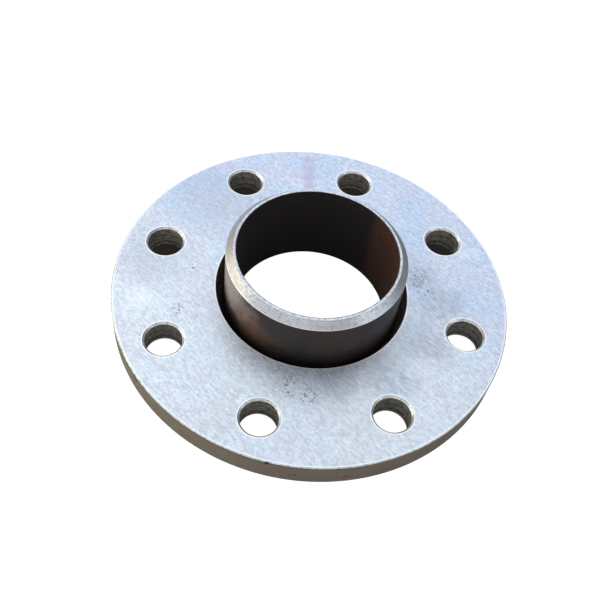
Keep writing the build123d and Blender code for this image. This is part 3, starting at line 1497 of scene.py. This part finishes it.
@dataclass
class WeldNeckCollar:
    """The black steel collar: a lap for the gasket, and a neck to weld to a pipe."""

    node: bpy.types.Object
    flange_top: float
    body: str = "collar"
    slot: str = "black_steel"
    steps: int = 288
    fillet_steps: int = 6
    neck_rows: int = 12
    bevel_rows: int = 3
    groove_pitch: float = 0.8 * MM
    groove_depth: float = 0.06 * MM
    plain_border: float = 1.4 * MM
    corner: float = 0.12 * MM
    neck_swelling: float = 14 * MM
    neck_unevenness: float = 0.06 * MM

    def __post_init__(self) -> None:
        """Read the collar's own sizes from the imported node."""
        cad = CadRings(self.node)
        self.bottom = cad.bottom()
        self.weld_end = cad.top()
        self.bore_radius = cad.bore_radius()
        self.neck_radius = max(cad.radii(self.flange_top, self.weld_end))
        self.root_radius = max(cad.radii(self.weld_end, self.weld_end))
        self.bevel_bottom = cad.highest(self.neck_radius)
        self.lap_radius = cad.outer_radius()
        self.lap_face_radius = max(cad.radii(self.bottom, self.bottom))
        self.lap_top = cad.highest(self.lap_face_radius)
        self.fillet_radius = min(cad.radii(self.lap_top, self.lap_top)) - self.neck_radius

    def gasket_face(self) -> list[ProfilePoint]:
        """Draw the gasket face, with its turned grooves, from the bore outwards.

        Returns:
            The outline's points.
        """
        inner = self.bore_radius + self.plain_border
        outer = self.lap_face_radius - self.plain_border
        count = 2 * round((outer - inner) / self.groove_pitch)
        points = [(self.bore_radius + self.corner, self.bottom)]
        for index, radius in enumerate(steps_between(inner, outer, count)):
            depth = self.groove_depth if index % 2 else 0.0
            points.append((radius, self.bottom + depth))
        points.append((self.lap_face_radius, self.bottom))
        return points

    def outside(self) -> list[ProfilePoint]:
        """Draw the lap, the root fillet and the neck, from the gasket face up.

        Returns:
            The outline's points.
        """
        chamfer = self.lap_radius - self.lap_face_radius
        points = [
            (self.lap_face_radius, self.bottom),
            (self.lap_radius, self.bottom + chamfer),
            (self.lap_radius, self.lap_top - chamfer),
            (self.lap_face_radius, self.lap_top),
        ]
        middle_radius = self.neck_radius + self.fillet_radius
        middle_height = self.lap_top + self.fillet_radius
        for angle in steps_between(0.0, math.pi / 2, self.fillet_steps):
            radius = middle_radius - self.fillet_radius * math.sin(angle)
            height = middle_height - self.fillet_radius * math.cos(angle)
            points.append((radius, height))
        heights = steps_between(middle_height, self.bevel_bottom, self.neck_rows)
        points += [(self.neck_radius, height) for height in heights[1:]]
        return points

    def bevel(self) -> list[ProfilePoint]:
        """Draw the weld bevel, from the neck to the root face.

        Returns:
            The outline's points.
        """
        radii = steps_between(self.neck_radius, self.root_radius, self.bevel_rows)
        heights = steps_between(self.bevel_bottom, self.weld_end, self.bevel_rows)
        return list(zip(radii, heights))

    def root_face(self) -> list[ProfilePoint]:
        """Draw the flat root face, from the bevel to the bore."""
        inner = self.bore_radius + self.corner
        return [(self.root_radius, self.weld_end), (inner, self.weld_end)]

    def inside(self) -> list[ProfilePoint]:
        """Draw the bore with its two broken corners, from the weld end down.

        Returns:
            The outline's points.
        """
        high, low = self.weld_end - self.corner, self.bottom + self.corner
        edge = self.bore_radius + self.corner
        wall = [(self.bore_radius, z) for z in steps_between(high, low, self.neck_rows)]
        return [(edge, self.weld_end), *wall, (edge, self.bottom)]

    def weather(self, mesh: SpunMesh) -> None:
        """Make the neck's outside slightly uneven, as rolled pipe is.

        Args:
            mesh: The whole collar's mesh.
        """
        for vert in mesh.bm.verts:
            radius = vert.co.xy.length
            if abs(radius - self.neck_radius) < SAME_PLACE:
                inward = abs(unevenness(vert.co, self.neck_swelling, self.neck_unevenness))
                vert.co.xy *= (radius - inward) / radius

    def build(self) -> bpy.types.Object:
        """Build the collar.

        Returns:
            The collar's object.
        """
        mesh = SpunMesh()
        mesh.spin(self.gasket_face(), CollarZone.TURNED, self.steps)
        mesh.spin(self.outside(), CollarZone.SCALE, self.steps)
        mesh.spin(self.bevel(), CollarZone.TURNED, self.steps)
        mesh.spin(self.root_face(), CollarZone.LAND, self.steps)
        mesh.spin(self.inside(), CollarZone.INSIDE, self.steps)
        self.weather(mesh)
        scale = MillScale(self.flange_top, self.bevel_bottom)
        turned = WeldPrep(self.neck_radius, self.bevel_bottom)
        finishes = [scale, turned, PipeInside(), RootLand(self.bore_radius)]
        made = mesh.make_object("black_collar", finishes)
        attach(made, self.body)
        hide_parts(self.node.name)
        return made


# ---- the studio ------------------------------------------------------------------------


@dataclass(frozen=True)
class Softbox:
    """A large rectangular light that faces the product."""

    name: str
    place: Vector
    width: float
    height: float
    brightness: float
    colour: Colour = (1.0, 1.0, 1.0)

    def build(self, target: Vector) -> bpy.types.Object:
        """Make the light.

        Args:
            target: The point that the light faces.

        Returns:
            The light's object.
        """
        light = bpy.data.lights.new(self.name, "AREA")
        light.shape = "RECTANGLE"
        light.size = self.width
        light.size_y = self.height
        light.energy = self.brightness * math.pi * self.width * self.height
        light.color = self.colour
        made = bpy.data.objects.new(self.name, light)
        made.location = self.place
        made.rotation_euler = (self.place - target).to_track_quat("Z", "Y").to_euler()
        bpy.context.scene.collection.objects.link(made)
        return made


@dataclass(frozen=True)
class FloorFinish(Finish):
    """The studio's plain pale floor, which glows but for the shade under the flange."""

    bolts: BoltPattern
    flange_radius: float
    title = "pale_floor"
    paint: Colour = (0.34, 0.34, 0.35)
    glow: Colour = (0.97, 0.97, 0.97)
    shaded: Colour = (0.016, 0.014, 0.012)
    ring_inner_fade: tuple[float, float] = (11 * MM, 8 * MM)
    ring_outer_fade: tuple[float, float] = (5.5 * MM, 3.5 * MM)
    spot_offset: Vector = Vector((2.3 * MM, 10.8 * MM, 0))
    spot_width: float = 12 * MM
    spot_depth: float = 6 * MM
    spot_fade: tuple[float, float] = (0.9, 1.3)
    roughness: float = 0.9

    def rim_shade(self, shader: ShaderTree, position: Any) -> Any:
        """Return the shaded ring just inside the flange's rim.

        Args:
            shader: The material's tree.
            position: The floor's own coordinates.

        Returns:
            The mask's socket.
        """
        radius = shader.place(PolarPlace(), position)["Radius"]
        inner = (self.flange_radius - away for away in self.ring_inner_fade)
        outer = (self.flange_radius - away for away in self.ring_outer_fade)
        return shader.product(shader.span(radius, *inner), shader.span(radius, *outer, 1.0, 0.0))

    def shade_mask(self, shader: ShaderTree, position: Any) -> Any:
        """Return where the floor lies in shade: under the rim, and beyond each far bolt hole.

        Args:
            shader: The material's tree.
            position: The floor's own coordinates.

        Returns:
            The mask's socket.
        """
        result = self.rim_shade(shader, position)
        for index in range(self.bolts.count):
            turn = Matrix.Rotation((index + 0.5) * self.bolts.pitch, 3, "Z")
            hole = turn @ Vector((self.bolts.circle_radius, 0, 0))
            if hole.y < 0:
                continue
            ends = {0: position, 1: hole + self.spot_offset}
            shift = shader.add("ShaderNodeVectorMath", ends, operation="SUBTRACT").outputs[0]
            size = shader.stretched(shift, (1 / self.spot_width, 1 / self.spot_depth, 0))
            away = shader.add("ShaderNodeVectorMath", {0: size}, operation="LENGTH").outputs["Value"]
            spot = shader.span(away, *self.spot_fade, 1.0, 0.0)
            result = shader.math("MAXIMUM", result, spot)
        return result

    def dress(self, shader: ShaderTree, position: Any, surface: Any) -> None:
        """Lay a faintly clouded matt paint that glows for direct sight alone.

        Args:
            shader: The material's tree.
            position: The object's own coordinates.
            surface: The surface shader node.
        """
        clouds = shader.mask(Clouds(), position, Scale=3.0, Softness=0.3)
        shade = shader.span(clouds, 0.0, 1.0, 0.99, 1.01)
        shaded = self.shade_mask(shader, position)
        paint = shader.mix(shaded, shader.shade(self.paint, shade), self.shaded)
        shader.feed(surface.inputs["Base Color"], paint)
        surface.inputs["Roughness"].default_value = self.roughness
        surface.inputs["Specular IOR Level"].default_value = 0.0
        seen = shader.add("ShaderNodeLightPath").outputs["Is Camera Ray"]
        glow = shader.mix(shaded, self.glow, self.shaded)
        shader.feed(surface.inputs["Emission Color"], shader.mix(seen, (0.0, 0.0, 0.0), glow))
        surface.inputs["Emission Strength"].default_value = 1.0


@dataclass(frozen=True)
class Studio:
    """The floor, the soft lights and the surrounding light."""

    bolts: BoltPattern
    flange_radius: float
    floor_half_size: float = 2.0
    floor_gap: float = 0.05 * MM
    bright_side: Colour = (0.80, 0.82, 0.85)
    dim_side: Colour = (0.24, 0.27, 0.32)
    dimming: tuple[float, float] = (0.0, 0.9)
    backdrop: Colour = (1.0, 1.0, 1.0)

    def softboxes(self) -> tuple[Softbox, ...]:
        """Return the studio's lights.

        Returns:
            The lights, with their places, sizes, brightnesses and colours.
        """
        sky, warm, white = (0.90, 0.96, 1.0), (1.0, 0.98, 0.93), (1.0, 1.0, 1.0)
        return (
            Softbox("overhead_light", Vector((0.12, 0.72, 1.0)), 1.7, 1.0, 1.15, sky),
            Softbox("left_light", Vector((-1.1, 0.3, 0.45)), 0.9, 0.8, 1.5, warm),
            Softbox("front_light", Vector((0.85, -0.45, 0.45)), 0.7, 0.5, 1.0, white),
        )

    def floor(self, height: float) -> None:
        """Lay the floor just under the product.

        Args:
            height: The product's lowest height.
        """
        bm = bmesh.new()
        level = Matrix.Translation(UP * (height - self.floor_gap))
        bmesh.ops.create_grid(
            bm, x_segments=1, y_segments=1, size=self.floor_half_size, matrix=level
        )
        mesh = bpy.data.meshes.new("studio_floor")
        bm.to_mesh(mesh)
        bm.free()
        finish = FloorFinish(self.bolts, self.flange_radius)
        mesh.materials.append(finish.material())
        made = bpy.data.objects.new("studio_floor", mesh)
        bpy.context.scene.collection.objects.link(made)
        made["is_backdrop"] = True

    def surroundings(self) -> None:
        """Light the product from all round, more from its left than from its right."""
        world = bpy.data.worlds.new("studio_surroundings")
        world.use_nodes = True
        world.node_tree.nodes.clear()
        shader = ShaderTree(world.node_tree)
        direction = shader.add("ShaderNodeTexCoord").outputs["Generated"]
        across = shader.add("ShaderNodeSeparateXYZ", {0: direction}).outputs[0]
        light = shader.mix(shader.span(across, *self.dimming), self.bright_side, self.dim_side)
        seen = shader.add("ShaderNodeLightPath").outputs["Is Camera Ray"]
        background = shader.add("ShaderNodeBackground", {0: shader.mix(seen, light, self.backdrop)})
        output = shader.add("ShaderNodeOutputWorld")
        shader.feed(output.inputs["Surface"], background.outputs[0])
        bpy.context.scene.world = world

    def build(self, low: Vector, high: Vector) -> None:
        """Build the studio round the product.

        Args:
            low: The product's lowest corner.
            high: The product's highest corner.
        """
        self.floor(low.z)
        self.surroundings()
        for softbox in self.softboxes():
            softbox.build((low + high) / 2)
        bpy.context.scene.view_settings.view_transform = "Standard"


@dataclass(frozen=True)
class ProductCamera:
    """A camera that looks down on the flange's upper face from the front."""

    azimuth: float = math.radians(-12.9)
    elevation: float = math.radians(51.5)
    distance: float = 414.6 * MM
    aim_x: float = -6.9 * MM
    aim_y: float = -8.3 * MM
    roll: float = math.radians(9.0)
    lens: float = 49.05
    sensor: float = 36.0
    nearest: float = 10 * MM

    def build(self, face_height: float) -> bpy.types.Object:
        """Make the camera and choose it for the scene.

        Args:
            face_height: The height of the flange's upper face.

        Returns:
            The camera's object.
        """
        away = Vector(
            (
                math.cos(self.elevation) * math.sin(self.azimuth),
                -math.cos(self.elevation) * math.cos(self.azimuth),
                math.sin(self.elevation),
            )
        )
        middle = Vector((0, 0, face_height))
        place = middle + away * self.distance
        aim = middle + Vector((self.aim_x, self.aim_y, 0))
        turn = (place - aim).to_track_quat("Z", "Y").to_matrix().to_4x4()
        data = bpy.data.cameras.new("product_camera")
        data.lens = self.lens
        data.sensor_width = self.sensor
        data.clip_start = self.nearest
        made = bpy.data.objects.new("product_camera", data)
        roll = Matrix.Rotation(self.roll, 4, "Z")
        made.matrix_world = Matrix.Translation(place) @ turn @ roll
        bpy.context.scene.collection.objects.link(made)
        bpy.context.scene.camera = made
        return made


# ---- main ------------------------------------------------------------------------------


def main() -> None:
    """Build the camera, the two pieces and the studio, and report each piece."""
    logging.basicConfig(level=logging.INFO, format="%(name)s: %(message)s")
    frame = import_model()
    cad_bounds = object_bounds()
    bolts = BoltPattern.from_record(frame["record"], "bolt_holes")
    flange = LooseFlange(frame["nodes"]["loose_flange"], bolts)
    collar = WeldNeckCollar(frame["nodes"]["weld_neck_collar"], flange.top)
    ProductCamera().build(flange.top)
    for part in (flange, collar):
        made = part.build()
        LOG.info("%s rides on %s", made.name, part.body)
    Studio(bolts, flange.outer_radius).build(*cad_bounds)


if __name__ == "__main__":
    main()
